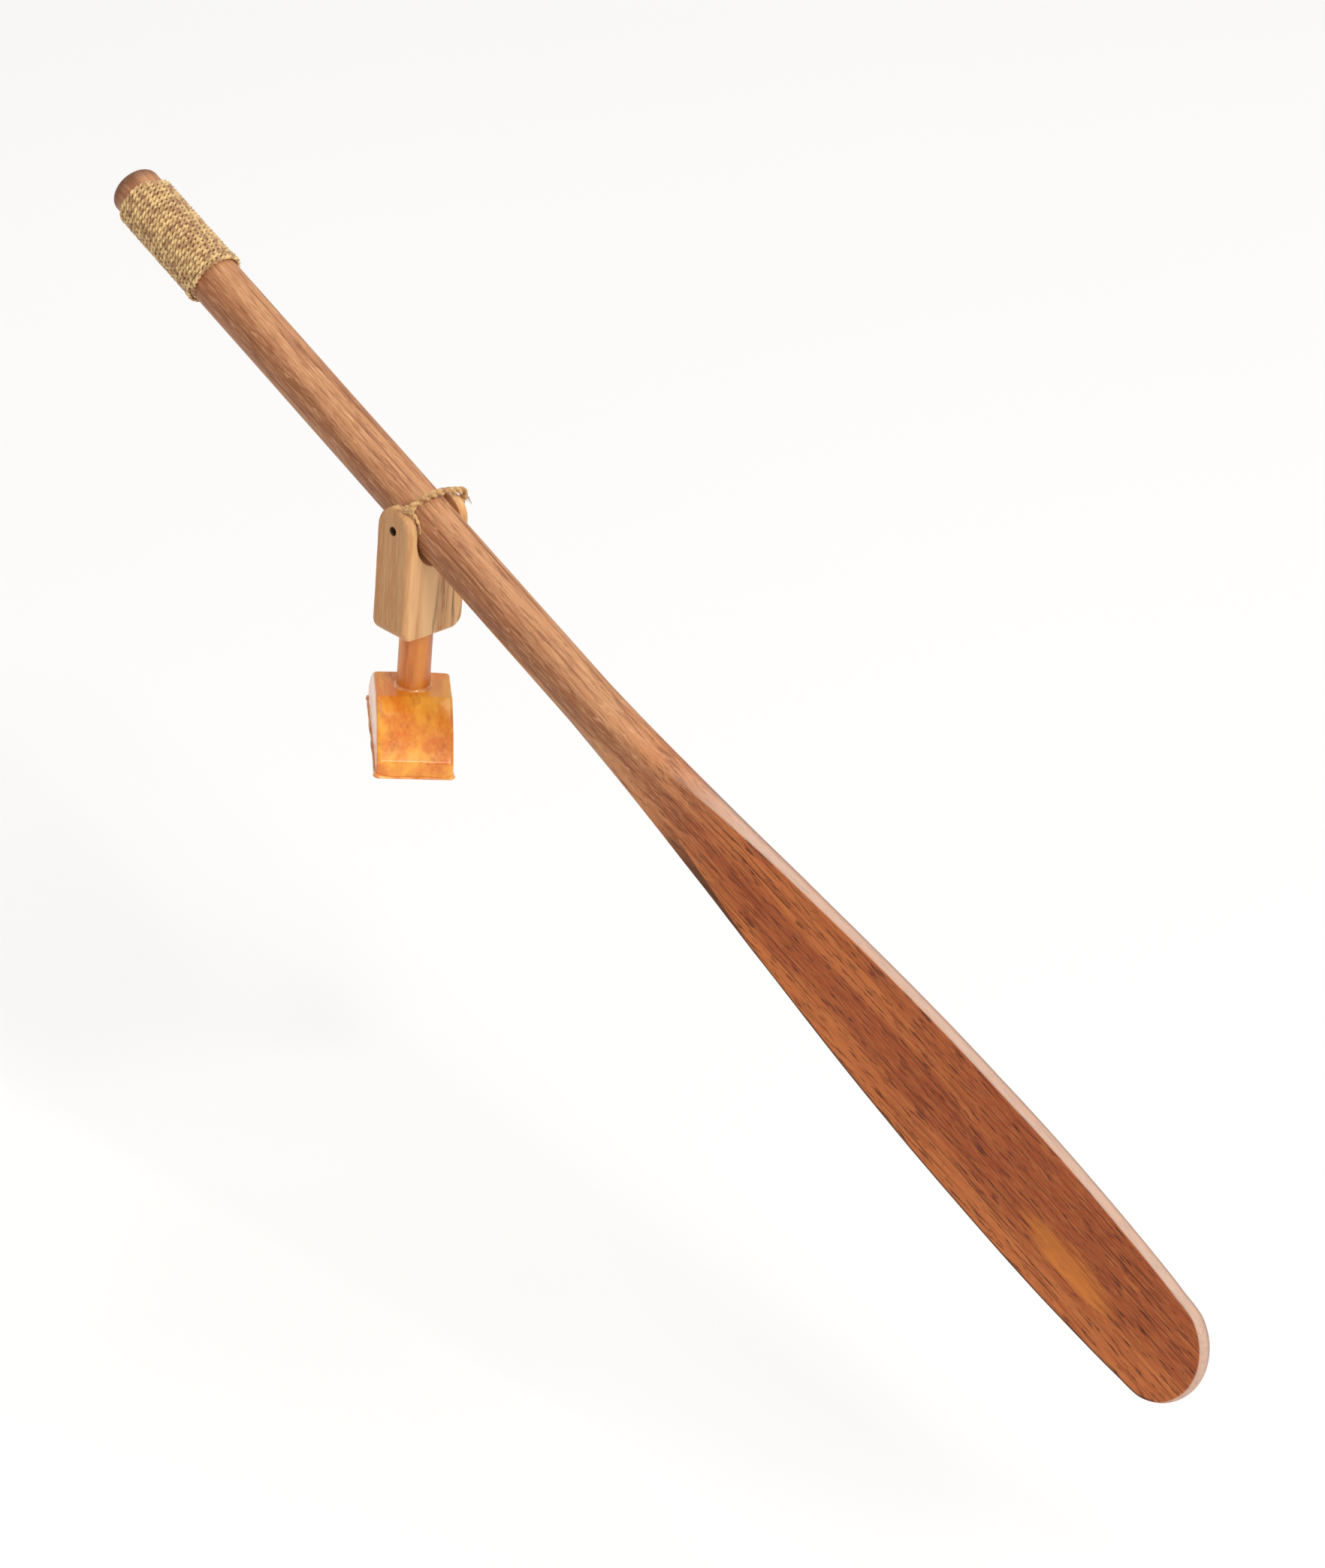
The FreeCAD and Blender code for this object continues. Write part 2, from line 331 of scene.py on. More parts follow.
def srgb(r, g, b):
    """A colour from 0 to 255 display values."""
    def linear(c):
        c = c / 255
        return c / 12.92 if c <= 0.04045 else ((c + 0.055) / 1.055) ** 2.4
    return (linear(r), linear(g), linear(b), 1.0)


def oar_wood():
    """Open-pored reddish hardwood under thin satin varnish. The grain runs along X."""
    m = Maker("oar_wood")
    warp = m.scaled(m.noise_colour(m.place((0.012, 0.05, 0.05))), (0.0, 1.3, 1.3))
    figure = m.noise(m.place((0.008, 0.17, 0.17), warp=warp), 3, 0.55)
    streak = m.noise(m.place((0.045, 1.0, 1.0), warp=warp), 4, 0.66)
    fibre = m.noise(m.place((0.22, 3.0, 3.0), (3, 1, 7), warp=warp), 4, 0.66)
    pore = m.noise(m.place((0.24, 2.3, 2.3), (9, 2, 5), warp=warp), 3, 0.62)
    fleck = m.noise(m.place((0.26, 1.4, 1.4), (1, 8, 3), warp=warp), 2, 0.5)
    line = m.noise(m.place((0.028, 1.5, 1.5), (5, 6, 4), warp=warp), 3, 0.6)
    x = m.split(m.place((1, 1, 1)))
    blade = m.band(x["X"], NECK + 2, NECK + 48)
    painted_edge_light_and_shade = m.attribute("painted_edge_light_and_shade")

    light = m.mix(blade, srgb(192, 136, 94), srgb(196, 109, 54))
    deep = m.mix(blade, srgb(152, 96, 62), srgb(160, 76, 34))
    colour = m.mix(m.band(figure, 0.38, 0.62), deep, light)
    streak_tone = m.mix(blade, srgb(122, 72, 48), srgb(128, 52, 20))
    colour = m.mix(m.band(streak, 0.47, 0.66, 0.0, 0.6), colour, streak_tone)
    fibre_tone = m.mix(blade, srgb(222, 172, 128), srgb(206, 130, 66))
    colour = m.mix(m.band(fibre, 0.46, 0.66, 0.0, 0.4), colour, fibre_tone)
    line_tone = m.mix(blade, srgb(112, 66, 42), srgb(80, 30, 12))
    colour = m.mix(m.band(line, 0.57, 0.68, 0.0, 0.6), colour, line_tone)
    pore_share = m.times(m.band(pore, 0.52, 0.68), m.plus(0.42, m.times(blade, 0.43)))
    colour = m.mix(pore_share, colour, m.mix(blade, srgb(110, 62, 40), srgb(74, 27, 11)))

    # An orange patch on the blade's face near the tip, with an edge that follows the grain
    along = m.math("DIVIDE", m.math("SUBTRACT", x["X"], TIP - 30), 12.0)
    over = m.math("DIVIDE", m.plus(x["Y"], 2.4), 3.0)
    reach = m.length(along, over)
    patch_edge = m.plus(reach, m.times(m.math("SUBTRACT", streak, 0.5), 2.2))
    patch = m.times(m.band(patch_edge, 0.5, 1.25, 0.6, 0.0), m.band(x["Z"], 0.0, 0.4))
    colour = m.mix(patch, colour, srgb(216, 128, 48))

    # Bright flecks on the loom, a painted highlight along the +Y edge, painted shade along the -Y edge and a
    # soiled grip end
    bright = m.times(m.band(fleck, 0.66, 0.75, 0.0, 0.5), m.math("SUBTRACT", 1.0, blade))
    colour = m.mix(bright, colour, srgb(228, 176, 128))
    # Painted highlight on the +Y edge: paler high up as painted light, greyer low down as painted shade.
    edge = m.mix(m.band(x["Z"], -1.3, 0.2), srgb(142, 122, 110), srgb(204, 178, 160))
    painted_highlight_share = m.times(m.band(painted_edge_light_and_shade, 0.0, 1.0), m.plus(0.45, m.times(streak, 0.6)))
    colour = m.mix(painted_highlight_share, colour, edge)
    # Painted shade along the -Y edge.
    colour = m.mix(m.band(painted_edge_light_and_shade, -0.15, -0.85, 0.0, 0.8), colour, srgb(60, 32, 18))
    colour = m.mix(m.band(x["X"], GRIP_END + 4.4, GRIP_END + 2.2, 0.0, 0.65), colour, srgb(92, 58, 46))

    rough = m.plus(0.42, m.times(streak, 0.2))
    dents = m.bump(m.noise(m.place((0.05, 0.30, 0.30)), 2), 0.18, 0.6)
    grain = m.bump(m.band(pore, 0.53, 0.68, 1.0, 0.0), 0.07, 0.6, dents)
    grain = m.bump(fibre, 0.04, 0.5, grain)
    return m.finish(colour, rough, grain, coat=0.06, coat_roughness=0.3, specular=0.2)


def pale_wood(name, grain, light, deep, streaks, lines, gloss):
    """Hardwood under gloss varnish. grain is the scale along each axis, small along the fibres."""
    m = Maker(name)
    warp = m.noise_colour(m.place([0.3 * g for g in grain]))
    figure = m.noise(m.place([0.9 * g for g in grain], warp=warp), 3, 0.55)
    streak = m.noise(m.place([2.6 * g for g in grain], (4, 9, 2), warp=warp), 3, 0.6)
    fibre = m.noise(m.place([9 * g for g in grain], (7, 3, 8)), 3, 0.6)
    colour = m.mix(m.band(figure, 0.36, 0.64), deep, light)
    colour = m.mix(m.band(streak, 0.54, 0.70, 0.0, lines), colour, streaks)
    colour = m.mix(m.band(fibre, 0.40, 0.72, 0.0, 0.35), colour, light)
    rough = m.plus(0.42 - 0.2 * gloss, m.times(streak, 0.2))
    normal = m.bump(m.noise(m.place((0.28, 0.28, 0.28)), 2), 0.3, 0.5)
    normal = m.bump(fibre, 0.05, 0.5, normal)
    return m.finish(colour, rough, normal, coat=gloss, coat_roughness=0.12)


def crutch_wood():
    """Pale timber, upright grain, with weathered streaks low on the +Y side, painted shade on the -Y side
    and painted shade inside the thread holes.
    """
    m = Maker("crutch_wood")
    grain = (0.32, 0.32, 0.02)
    warp = m.noise_colour(m.place([0.3 * g for g in grain]))
    figure = m.noise(m.place([0.9 * g for g in grain], warp=warp), 3, 0.55)
    streak = m.noise(m.place([3.4 * g for g in grain], (4, 9, 2), warp=warp), 3, 0.62)
    fibre = m.noise(m.place([10 * g for g in grain], (7, 3, 8)), 3, 0.6)
    at = m.split(m.place((1, 1, 1)))
    colour = m.mix(m.band(figure, 0.36, 0.64), srgb(200, 141, 85), srgb(229, 182, 128))
    # Painted shade: darker on the -Y side face, away from the light.
    colour = m.mix(m.band(at["Y"], -5.6, -6.9, 0.0, 0.65), colour, srgb(168, 112, 62))
    where = m.times(m.band(at["Y"], -4.5, 2.5), m.band(at["Z"], -5.0, -13.0))
    share = m.times(m.band(streak, 0.50, 0.66), m.plus(0.22, m.times(where, 0.6)))
    colour = m.mix(share, colour, srgb(112, 84, 62))
    colour = m.mix(m.band(fibre, 0.42, 0.70, 0.0, 0.35), colour, srgb(224, 176, 122))
    # Painted shade inside the thread holes.
    colour = m.mix(m.band(m.length(at["X"], at["Z"]), 0.98, 0.72), colour, srgb(52, 30, 18))
    rough = m.plus(0.42, m.times(streak, 0.2))
    normal = m.bump(m.noise(m.place((0.28, 0.28, 0.28)), 2), 0.25, 0.5)
    normal = m.bump(fibre, 0.05, 0.6, normal)
    return m.finish(colour, rough, normal, coat=0.1, coat_roughness=0.2, specular=0.35)


def thread(name, light, deep, shadow):
    """Waxed twisted thread with fine fibres."""
    m = Maker(name)
    tone = m.noise(m.place((0.8, 0.8, 0.8)), 3, 0.6)
    fibre = m.noise(m.place((5, 5, 5), (2, 5, 1)), 3, 0.65)
    colour = m.mix(m.band(tone, 0.35, 0.65), deep, light)
    colour = m.mix(m.band(fibre, 0.50, 0.68, 0.0, 0.5), colour, shadow)
    rough = m.plus(0.33, m.times(fibre, 0.3))
    return m.finish(colour, rough, m.bump(fibre, 0.08, 0.7), sheen=0.3, specular=0.75)


def lacquer(name, colour_a, colour_b):
    """Thick drops and fillets of varnish."""
    m = Maker(name)
    tone = m.noise(m.place((0.4, 0.4, 0.4)), 2)
    colour = m.mix(m.band(tone, 0.35, 0.65), colour_a, colour_b)
    normal = m.bump(m.noise(m.place((0.6, 0.6, 0.6), (3, 3, 3)), 2), 0.2, 0.5)
    return m.finish(colour, m.times(tone, 0.3), normal, coat=1.0, coat_roughness=0.05)


# ---------------------------------------------------------------- oar

def blade_half_width(x):
    """Half the oar's width, seen square to the blade."""
    d = x - NECK
    if d <= 0:
        return LOOM_R
    if d < BLADE_WIDEST_AT:
        return LOOM_R + (BLADE_HALF - LOOM_R) * math.sin(math.pi / 2 * (d / BLADE_WIDEST_AT) ** BLADE_FLARE)
    past = (d - BLADE_WIDEST_AT) / (BLADE_LENGTH - BLADE_WIDEST_AT)
    side = BLADE_HALF - (BLADE_HALF - BLADE_TIP_HALF) * past ** 2
    s = x - (TIP - TIP_ROUND)
    if s < -6:
        return side
    end = TIP_HALF * math.sqrt(max(1 - (max(s, 0.0) / TIP_ROUND) ** 2, 0.0)) + 0.03 * max(-s, 0.0) ** 2
    return soft_min(side, end, 0.5) if end > 1.0 else end


def oar_height(x, y, width):
    """Half the oar's thickness at a point seen square to the blade, and how far out on an edge the point is.

    The second value weights painted light: it runs to 1 on the +Y edge and round the tip, for a painted
    highlight, and to -1 on the -Y edge, for painted shade.
    """
    d = x - NECK
    squared = ease(d / 55)
    corner = width * (1 - squared) + min(BLADE_CORNER, width) * squared
    nose = LOOM_R - (LOOM_R - BLADE_EDGE_HALF) * ease(d / 62) - 0.13 * ease((d - 62) / 100)
    swell = (LOOM_R - BLADE_FLAT_HALF) * math.exp(-(max(d - 2, 0.0) / 24) ** 1.5)
    flat = BLADE_FLAT_HALF + swell - 0.06 * ease((d - 70) / 94)
    inside = width - abs(y)
    out_x, out_y = 0.0, math.copysign(1.0, y)
    s = x - (TIP - TIP_ROUND)
    if s > 0:
        p, q = s / TIP_ROUND, y / TIP_HALF
        reach = math.sqrt(p * p + q * q)
        slope = math.sqrt((p / TIP_ROUND) ** 2 + (q / TIP_HALF) ** 2)
        if slope > 1e-6:
            out_x, out_y = p / TIP_ROUND / slope, q / TIP_HALF / slope
            inside = min(inside, (1 - reach) / slope * reach)
    inside = min(max(inside, 0.0), corner)
    edge = nose * math.sqrt(max(1 - (1 - inside / corner) ** 2, 0.0))
    if d < 0:
        return edge, 0.0
    # Painted light direction: positive towards +Y and the tip for a painted highlight, negative on the -Y
    # side for painted shade.
    lit = 2 * ease((0.8 * out_y + 0.6 * out_x + 0.5) / 0.8) - 1
    on_edge = ease((flat - edge) / 0.3 + 0.5) if lit > 0 else ease((corner - inside) / 0.6)
    return soft_min(edge, flat, 0.12), lit * on_edge * ease((d - 12) / 34)


def oar_stations():
    """Places of the rings along the oar, closer together on the domed grip end and the round tip."""
    dome_rings, tip_rings, spacing = 14, 46, 1.1
    short_of_tip = 0.99985
    start, end = GRIP_END + GRIP_DOME, TIP - TIP_ROUND
    runs = int((end - start) / spacing)
    steps = []
    for i in range(dome_rings):
        steps.append(GRIP_END + GRIP_DOME * (1 - math.cos(math.pi / 2 * (i + 0.15) / dome_rings)))
    for i in range(runs):
        steps.append(start + (end - start) * i / runs)
    for i in range(tip_rings + 1):
        steps.append(end + TIP_ROUND * math.sin(math.pi / 2 * i / tip_rings) * short_of_tip)
    return steps


def build_oar(material):
    """The carved stick, with slight unevenness from hand work beyond the grip."""
    around = 144
    rings, painted_edge_light_and_shade = [], []
    for x in oar_stations():
        ring = []
        width = blade_half_width(x)
        dome = 1.0
        if x < GRIP_END + GRIP_DOME:
            dome = math.sqrt(max(1 - ((GRIP_END + GRIP_DOME - x) / GRIP_DOME) ** 2, 0.0))
        carved = ease((x - 25) / 30)
        for i in range(around):
            turn = TAU * i / around
            y = width * math.cos(turn)
            z, out = oar_height(x, y, width)
            z = math.copysign(z, math.sin(turn)) if abs(math.sin(turn)) > 1e-9 else 0.0
            swell = 1 + carved * 0.010 * wander(x * 0.035, 0.35 * math.cos(turn), 0.35 * math.sin(turn), 1)
            swell += 0.006 * wander(x * 0.06, 0.6 * math.cos(turn), 0.6 * math.sin(turn), 2)
            dent = 0.05 * carved * wander(x * 0.08, y * 0.16, 0, 3) * min(abs(z), 1.0)
            z += math.copysign(dent, z)
            ring.append((x, y * dome * swell, z * dome * swell))
            # out weights the painted edge highlight (positive) and the painted edge shade (negative).
            painted_edge_light_and_shade.append(out)
        rings.append(ring)
    points, faces = skin(rings)
    painted_edge_light_and_shade += [0.0, 1.0]              # the two ends' middle points
    piece = make_piece("oar_shaft_and_blade", points, faces, OAR, material, painted_edge_light_and_shade)
    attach(piece, "oar")
    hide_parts("oar")


# ---------------------------------------------------------------- thread

def strand_rings(centres, sides, offset, radius, pitch, start_turn, frames, taper):
    """One ply: a tube whose middle circles the thread's line once each pitch."""
    rings = []
    run = 0.0
    for k, (c, (u, v)) in enumerate(zip(centres, frames)):
        if k:
            run += (c - centres[k - 1]).length
        turn = TAU * run / pitch + start_turn
        scale = taper(k / (len(centres) - 1))
        middle = c + (u * math.cos(turn) + v * math.sin(turn)) * offset * scale
        ring = []
        for i in range(sides):
            a = TAU * i / sides
            ring.append(middle + (u * math.cos(a) + v * math.sin(a)) * radius * scale)
        rings.append(ring)
    return rings


def whipping_line():
    """Middle of the thread wound round the grip, with the frame across it at each point."""
    start = WHIP_START + 0.475
    centres, frames = [], []
    total = int(WHIP_TURNS * WHIP_STEPS)
    for k in range(total + 1):
        turn = WHIP_TURNS * k / total
        angle = TAU * turn
        proud = 0.16 * ease((turn - WHIP_TURNS + 2.6) / 1.2) + 0.05 * ease(1 - turn / 1.5)
        proud += 0.05 * wander(angle * 0.35, 0, 0, 5)
        tuck = ease(turn / 0.16) * ease((WHIP_TURNS - turn) / 0.16)
        r = LOOM_R + 0.40 * tuck + proud * tuck - 0.35 * (1 - tuck)
        x = start + WHIP_PITCH * turn + 0.05 * wander(angle * 0.6, 3, 0, 6)
        radial = Vector((0, math.cos(angle), math.sin(angle)))
        centres.append(Vector((x, 0, 0)) + radial * r)
        frames.append((radial, Vector((1, 0, 0))))
    return centres, frames


def build_whipping(material):
    """Two plies twisted together, wound round the grip with the last turns standing proud."""
    centres, frames = whipping_line()
    points, faces = [], []
    for ply in range(2):
        rings = strand_rings(centres, 7, 0.21, 0.30, 2.1, math.pi * ply, frames, lambda t: 1.0)
        p, f = skin(rings, len(points))
        points += p
        faces += f
    piece = make_piece("grip_thread", points, faces, OAR, material)
    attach(piece, "oar")
    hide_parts("grip_whipping")


def smooth_line(controls, spacing=0.12):
    """Points read at an even spacing from the NURBS spline with these control points."""
    data = bpy.data.curves.new("route", "CURVE")
    data.dimensions = "3D"
    data.resolution_u = 24
    spline = data.splines.new("NURBS")
    spline.points.add(len(controls) - 1)
    for point, c in zip(spline.points, controls):
        point.co = (*c, 1)
    spline.order_u = 3
    spline.use_endpoint_u = True
    route = bpy.data.objects.new("route", data)
    bpy.context.scene.collection.objects.link(route)
    mesh = bpy.data.meshes.new_from_object(route)
    line = [v.co.copy() for v in mesh.vertices]
    bpy.data.objects.remove(route)
    bpy.data.curves.remove(data)
    bpy.data.meshes.remove(mesh)
    return evenly(line, spacing)


def evenly(line, spacing):
    """The same line with points at an even spacing."""
    lengths = [0.0]
    for a, b in zip(line, line[1:]):
        lengths.append(lengths[-1] + (b - a).length)
    count = max(int(lengths[-1] / spacing), 4)
    result, k = [], 0
    for i in range(count + 1):
        want = lengths[-1] * i / count
        while k < len(line) - 2 and lengths[k + 1] < want:
            k += 1
        step = lengths[k + 1] - lengths[k]
        t = (want - lengths[k]) / step if step > 0 else 0.0
        result.append(line[k].lerp(line[k + 1], min(max(t, 0.0), 1.0)))
    return result


def frames_along(line):
    """Two directions square to the line at each point, carried along without twisting."""
    frames = []
    u = None
    for k in range(len(line)):
        ahead = (line[min(k + 1, len(line) - 1)] - line[max(k - 1, 0)]).normalized()
        if u is None:
            u = ahead.orthogonal().normalized()
        u = (u - ahead * u.dot(ahead)).normalized()
        frames.append((u, ahead.cross(u)))
    return frames


def add_cord(points, faces, controls, radius, pitch, taper=lambda t: 1.0, plies=2):
    """Add a twisted thread that follows the control points to a mesh's points and faces."""
    line = smooth_line([Vector(c) for c in controls])
    frames = frames_along(line)
    for ply in range(plies):
        rings = strand_rings(line, 9, radius * 0.44, radius * 0.62, pitch, TAU * ply / plies, frames, taper)
        p, f = skin(rings, len(points))
        points += p
        faces += f


def build_lashing(material):
    """The tie thread, the knot on the -Y ear, the knot's cut ends and the loose strands at both ears."""
    points, faces = [], []
    controls = [
        (0, 5.4, 0), (0, 7.5, 0), (0, 8.1, 0.5), (0.1, 8.1, 2.6), (0.1, 7.95, 5.0),
        (0.05, 6.5, 5.5), (0, 3.6, 6.45), (-0.1, 0, 7.05), (0, -3.4, 6.5), (0.25, -5.0, 5.75),
        (0.5, -6.0, 5.3),
    ]
    add_cord(points, faces, controls, 0.72, 3.4)
    knot = []
    for i in range(15):
        t = TAU * i / 14
        knot.append((
            0.35 + 0.27 * (math.sin(t) + 2 * math.sin(2 * t)),
            -6.0 + 0.22 * (math.cos(t) - 2 * math.cos(2 * t)),
            5.35 - 0.32 * math.sin(3 * t),
        ))
    add_cord(points, faces, knot, 0.40, 2.4)
    add_cord(points, faces, [
        (0.9, -5.8, 5.3), (1.9, -5.5, 5.0), (2.9, -5.3, 4.4), (3.7, -5.25, 3.6), (4.3, -5.3, 2.8),
    ], 0.36, 2.2, lambda t: 1 - 0.7 * ease((t - 0.2) / 0.8))
    add_cord(points, faces, [
        (-0.1, -6.4, 5.3), (-0.7, -7.0, 5.5), (-1.1, -7.6, 5.8),
    ], 0.32, 2.2, lambda t: 1 - 0.7 * t)
    for k in range(5):
        side = (k - 2) * 0.24
        add_cord(points, faces, [
            (3.2, -5.25 + 0.2 * side, 4.1), (3.9, -5.3 + side, 3.3 + 0.1 * side),
            (4.5, -5.3 + 1.9 * side, 2.7 - 0.3 * abs(side)),
        ], 0.08, 1.0, lambda t: 1 - 0.6 * t, 1)
        add_cord(points, faces, [
            (-0.8, -7.1 + 0.3 * side, 5.5), (-1.1 + side, -7.6, 5.8),
            (-1.4 + 1.8 * side, -8.0, 6.1 + 0.5 * side),
        ], 0.07, 1.0, lambda t: 1 - 0.6 * t, 1)
        add_cord(points, faces, [
            (0.2, 8.0 + 0.2 * side, 4.4), (0.9 + 0.3 * side, 8.7 + 0.5 * side, 3.6),
            (1.2 + side, 9.0 + 0.6 * side, 2.6 - 0.3 * abs(side)),
        ], 0.09, 1.0, lambda t: 1 - 0.5 * t, 1)
    piece = make_piece("lashing_thread", points, faces, LASHING, material)
    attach(piece, "lashing")
    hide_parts("lashing")


# ---------------------------------------------------------------- carved blocks

def hand_finished(node, name, frame_matrix, voxel, smooth, carve, material):
    """A CAD node's form with softened edges and slight hand-worked unevenness."""
    source = frame["nodes"][node]
    mesh = source.data.copy()
    mesh.transform(frame_matrix.inverted())
    piece = bpy.data.objects.new(name + "_draft", mesh)
    bpy.context.scene.collection.objects.link(piece)
    weld = piece.modifiers.new("weld", "WELD")
    weld.merge_threshold = 1e-6
    remesh = piece.modifiers.new("remesh", "REMESH")
    remesh.mode = "VOXEL"
    remesh.voxel_size = voxel * MM
    soften = piece.modifiers.new("soften", "SMOOTH")
    soften.factor = 0.5
    soften.iterations = smooth
    bpy.context.view_layer.update()
    shaped = bpy.data.meshes.new_from_object(piece.evaluated_get(bpy.context.evaluated_depsgraph_get()))
    bpy.data.objects.remove(piece)
    bpy.data.meshes.remove(mesh)
    shaped.name = name
    shaped.materials.clear()
    shaped.materials.append(material)
    normals = [v.normal.copy() for v in shaped.vertices]
    for v, n in zip(shaped.vertices, normals):
        broad, fine = v.co / MM * 0.22, v.co / MM * 0.7
        v.co += n * carve * MM * (wander(*broad, 8) + 0.4 * wander(*fine, 9))
    shaped.polygons.foreach_set("use_smooth", [True] * len(shaped.polygons))
    shaped.update()
    done = bpy.data.objects.new(name, shaped)
    done.matrix_world = frame_matrix
    bpy.context.scene.collection.objects.link(done)
    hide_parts(node)
    return done


def build_crutch(material):
    piece = hand_finished("crutch", "crutch_fork", CRUTCH, 0.14, 2, 0.05, material)
    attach(piece, "crutch")


def build_block(material):
    piece = hand_finished("base_block", "base", Matrix.Identity(4), 0.2, 14, 0.07, material)
    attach(piece, "base")


def build_pin(material):
    """The peg from just inside the block to its chamfered top, slightly out of round."""
    low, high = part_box("pin")
    around, step, chamfer = 72, 0.4, 0.4
    foot, top = BLOCK_TOP - 1.5, high.z / MM
    heights = [foot + i * step for i in range(int((top - foot) / step))]
    heights = [h for h in heights if h < top - 0.5] + [top - chamfer, top - chamfer / 2, top]
    rings = []
    for h in heights:
        r = PIN_R - max(0.0, h - (top - chamfer))
        ring = []
        for i in range(around):
            a = TAU * i / around
            shrink = 0.03 * (wander(math.cos(a), math.sin(a), h * 0.12, 11) - 1.0)
            ring.append(((r + shrink) * math.cos(a), (r + shrink) * math.sin(a), h))
        rings.append(ring)
    points, faces = skin(rings)
    piece = make_piece("pin_dowel", points, faces, Matrix.Identity(4), material)
    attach(piece, "base")
    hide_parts("pin")


def build_fillet(material):
    """Varnish drawn up round the pin's foot."""
    around = 96
    base = BLOCK_TOP - 0.03
    core, buried = PIN_R - 0.35, BLOCK_TOP - 0.4
    rings = []
    for i in range(around):
        a = TAU * i / around
        size = 0.62 + 0.14 * wander(math.cos(a) * 1.3, math.sin(a) * 1.3, 0, 12)
        ring = []
        for k in range(9):
            t = math.pi / 2 * k / 8
            r = PIN_R - 0.05 + size * (1 - math.sin(t))
            ring.append((r * math.cos(a), r * math.sin(a), base + size * (1 - math.cos(t))))
        for r, z in ((core, base + size), (core, buried), (PIN_R - 0.05 + size, buried)):
            ring.append((r * math.cos(a), r * math.sin(a), z))
        rings.append(ring)
    points, faces = hoop(rings)
    piece = make_piece("pin_fillet", points, faces, Matrix.Identity(4), material)
    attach(piece, "base")


def build_glue(material):
    """The bead of glue squeezed out along the base block's foot."""
    low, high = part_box("base_block")
    hx, hy = high.x / MM - 0.05, high.y / MM - 0.05
    corner = 0.7
    outline = []
    for cx, cy, begin in ((hx - corner, hy - corner, 0), (-hx + corner, hy - corner, 90),
                          (-hx + corner, -hy + corner, 180), (hx - corner, -hy + corner, 270)):
        for k in range(7):
            a = math.radians(begin + 15 * k)
            outline.append(Vector((cx + corner * math.cos(a), cy + corner * math.sin(a), 0)))
    outline.append(outline[0].copy())
    line = evenly(outline, 0.35)[:-1]
    rings = []
    for k, c in enumerate(line):
        ahead = (line[(k + 1) % len(line)] - line[k - 1]).normalized()
        out = Vector((ahead.y, -ahead.x, 0))
        near_corner = ease(1 - (hx - abs(c.x)) / 1.4) * ease(1 - (hy - abs(c.y)) / 1.4)
        size = 0.42 + 0.16 * wander(c.x * 0.35, c.y * 0.35, 0, 14) + 0.28 * near_corner
        ring = []
        for i in range(10):
            a = math.pi * i / 9 - math.pi / 2
            ring.append(c + out * (size * math.cos(a) * 0.9) + UP * (size * 0.62 * (1 + math.sin(a))))
        rings.append(ring)
    points, faces = hoop(rings)
    piece = make_piece("glue_bead", points, faces, Matrix.Identity(4), material)
    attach(piece, "base")


# ---------------------------------------------------------------- room

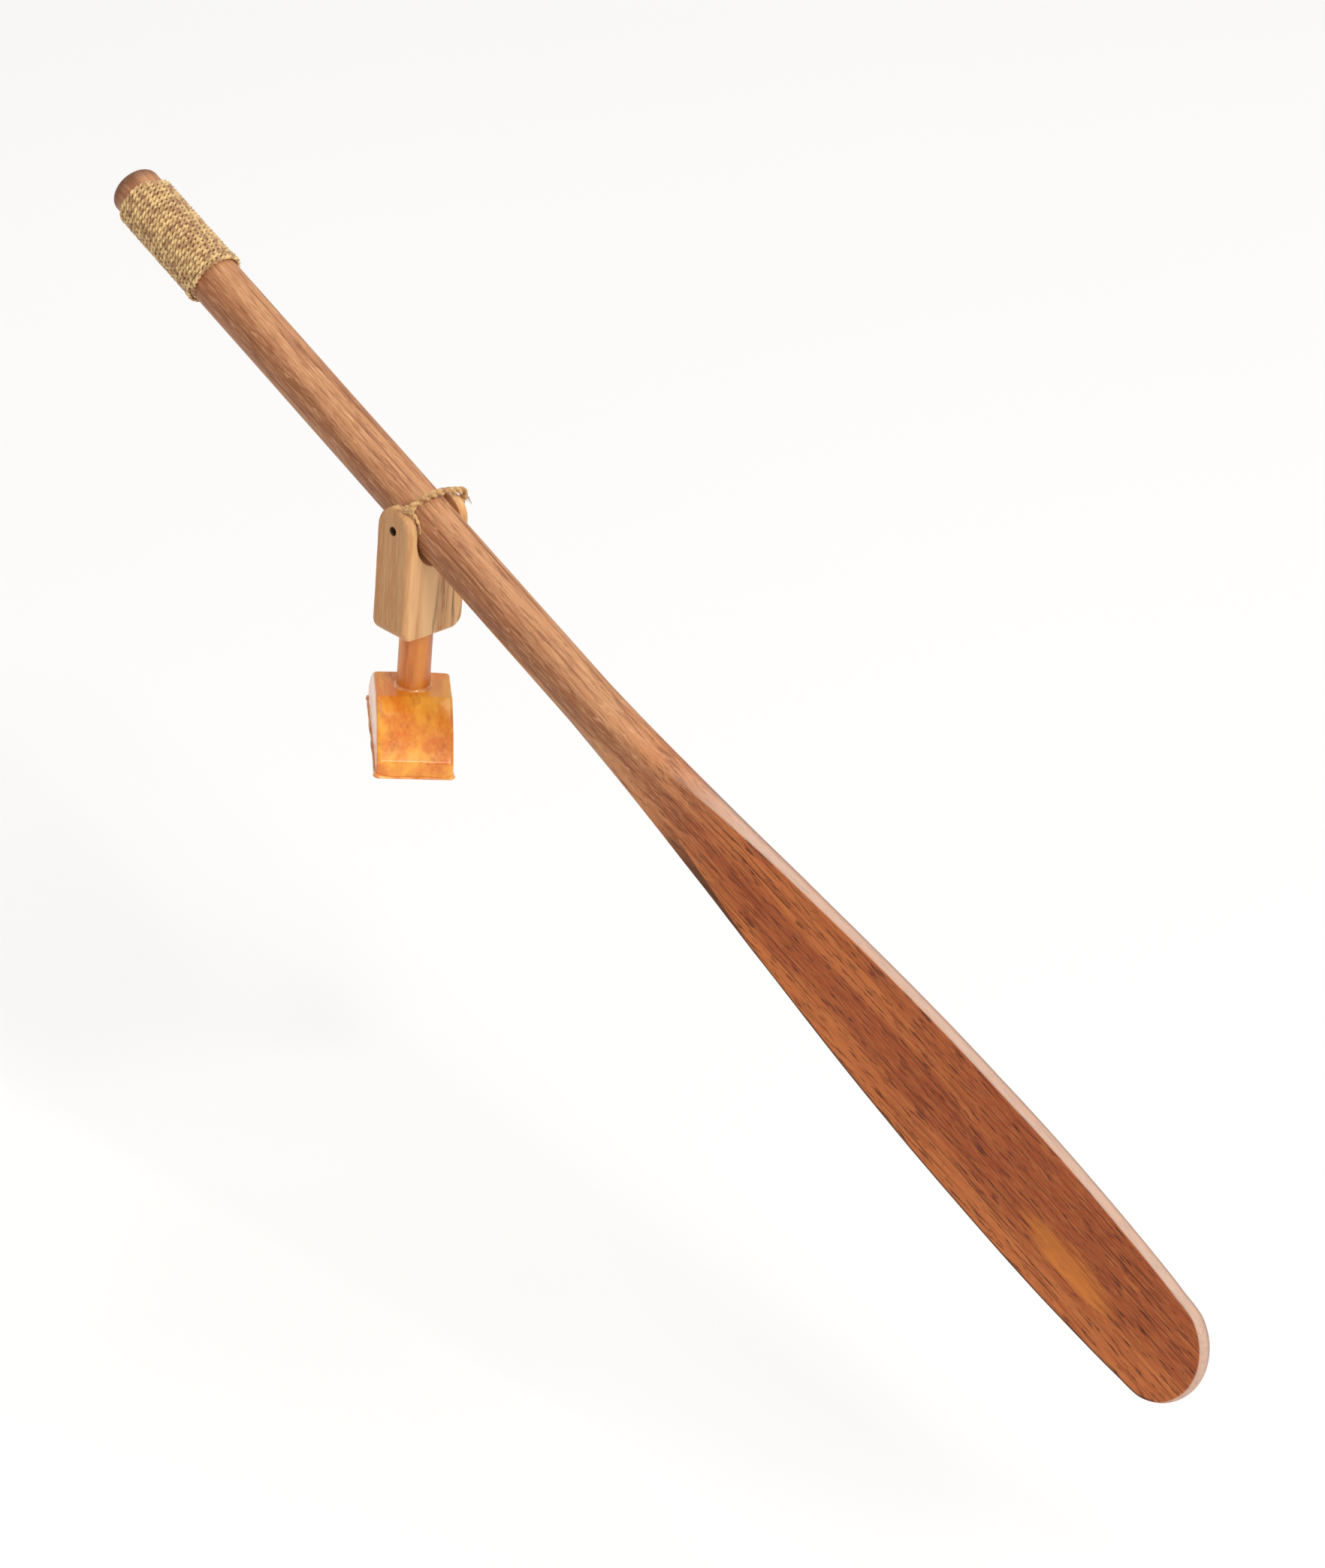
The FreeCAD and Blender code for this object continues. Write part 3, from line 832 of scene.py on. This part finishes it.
def make_floor():
    """A plain pale sheet of paper, some way below the part, which is held and not stood."""
    size, height, steps = 9.0, cad_low.z - FLOOR_DROP, 24
    points, faces = [], []
    for i in range(steps + 1):
        for j in range(steps + 1):
            points.append((size * (i / steps - 0.5), size * (j / steps - 0.5), height))
    for i in range(steps):
        for j in range(steps):
            a = i * (steps + 1) + j
            faces.append((a, a + steps + 1, a + steps + 2, a + 1))
    mesh = bpy.data.meshes.new("floor")
    mesh.from_pydata(points, [], faces)
    m = Maker("floor_paper")
    tone = m.noise(m.place((0.002, 0.002, 0.002)), 2)
    colour = m.mix(tone, (0.84, 0.84, 0.835, 1), (0.88, 0.88, 0.875, 1))
    tooth = m.bump(m.noise(m.place((0.5, 0.5, 0.5))), 0.02, 0.1)
    mesh.materials.append(m.finish(colour, 0.85, tooth, specular=0.2))
    floor = bpy.data.objects.new("floor", mesh)
    bpy.context.scene.collection.objects.link(floor)


def area_light(name, place, aim, size, power, colour):
    data = bpy.data.lights.new(name, "AREA")
    data.shape = "RECTANGLE"
    data.size, data.size_y = size
    data.energy = power
    data.color = colour
    light = bpy.data.objects.new(name, data)
    light.location = place
    light.rotation_mode = "QUATERNION"
    light.rotation_quaternion = (Vector(aim) - Vector(place)).to_track_quat("-Z", "Y")
    bpy.context.scene.collection.objects.link(light)


def make_lights():
    world = bpy.data.worlds.new("studio")
    world.use_nodes = True
    back = world.node_tree.nodes["Background"]
    back.inputs["Color"].default_value = (0.97, 0.98, 1.0, 1)
    back.inputs["Strength"].default_value = 0.56
    bpy.context.scene.world = world
    bpy.context.scene.view_settings.view_transform = "Standard"
    area_light("key", (1.45, -2.25, 2.55), (0.03, -0.04, 0.0), (1.5, 1.5), 80, (1.0, 0.97, 0.93))
    area_light("sparkle", (0.21, -1.85, 2.33), (0.0, 0.0, 0.0), (0.5, 0.28), 7, (1.0, 0.97, 0.92))
    area_light("top", (0.25, 0.9, 3.3), (0.03, -0.04, 0.0), (2.6, 2.0), 32, (1.0, 0.98, 0.96))


# ---------------------------------------------------------------- scene

make_camera()
build_oar(oar_wood())
build_whipping(thread("whipping_thread", srgb(234, 198, 130), srgb(160, 110, 60), srgb(92, 58, 30)))
build_lashing(thread("lashing_thread", srgb(214, 168, 100), srgb(160, 108, 56), srgb(92, 56, 26)))
build_crutch(crutch_wood())
build_pin(pale_wood(
    "pin_wood", (0.30, 0.30, 0.03), srgb(224, 140, 50), srgb(196, 100, 28), srgb(140, 58, 14), 0.5, 0.35))
build_block(pale_wood(
    "block_wood", (0.20, 0.03, 0.20), srgb(244, 168, 48), srgb(216, 112, 10), srgb(170, 72, 6), 0.5, 0.6))
varnish = lacquer("varnish_bead", srgb(214, 120, 36), srgb(240, 168, 76))
build_fillet(varnish)
build_glue(varnish)
make_floor()
make_lights()

bpy.context.view_layer.update()
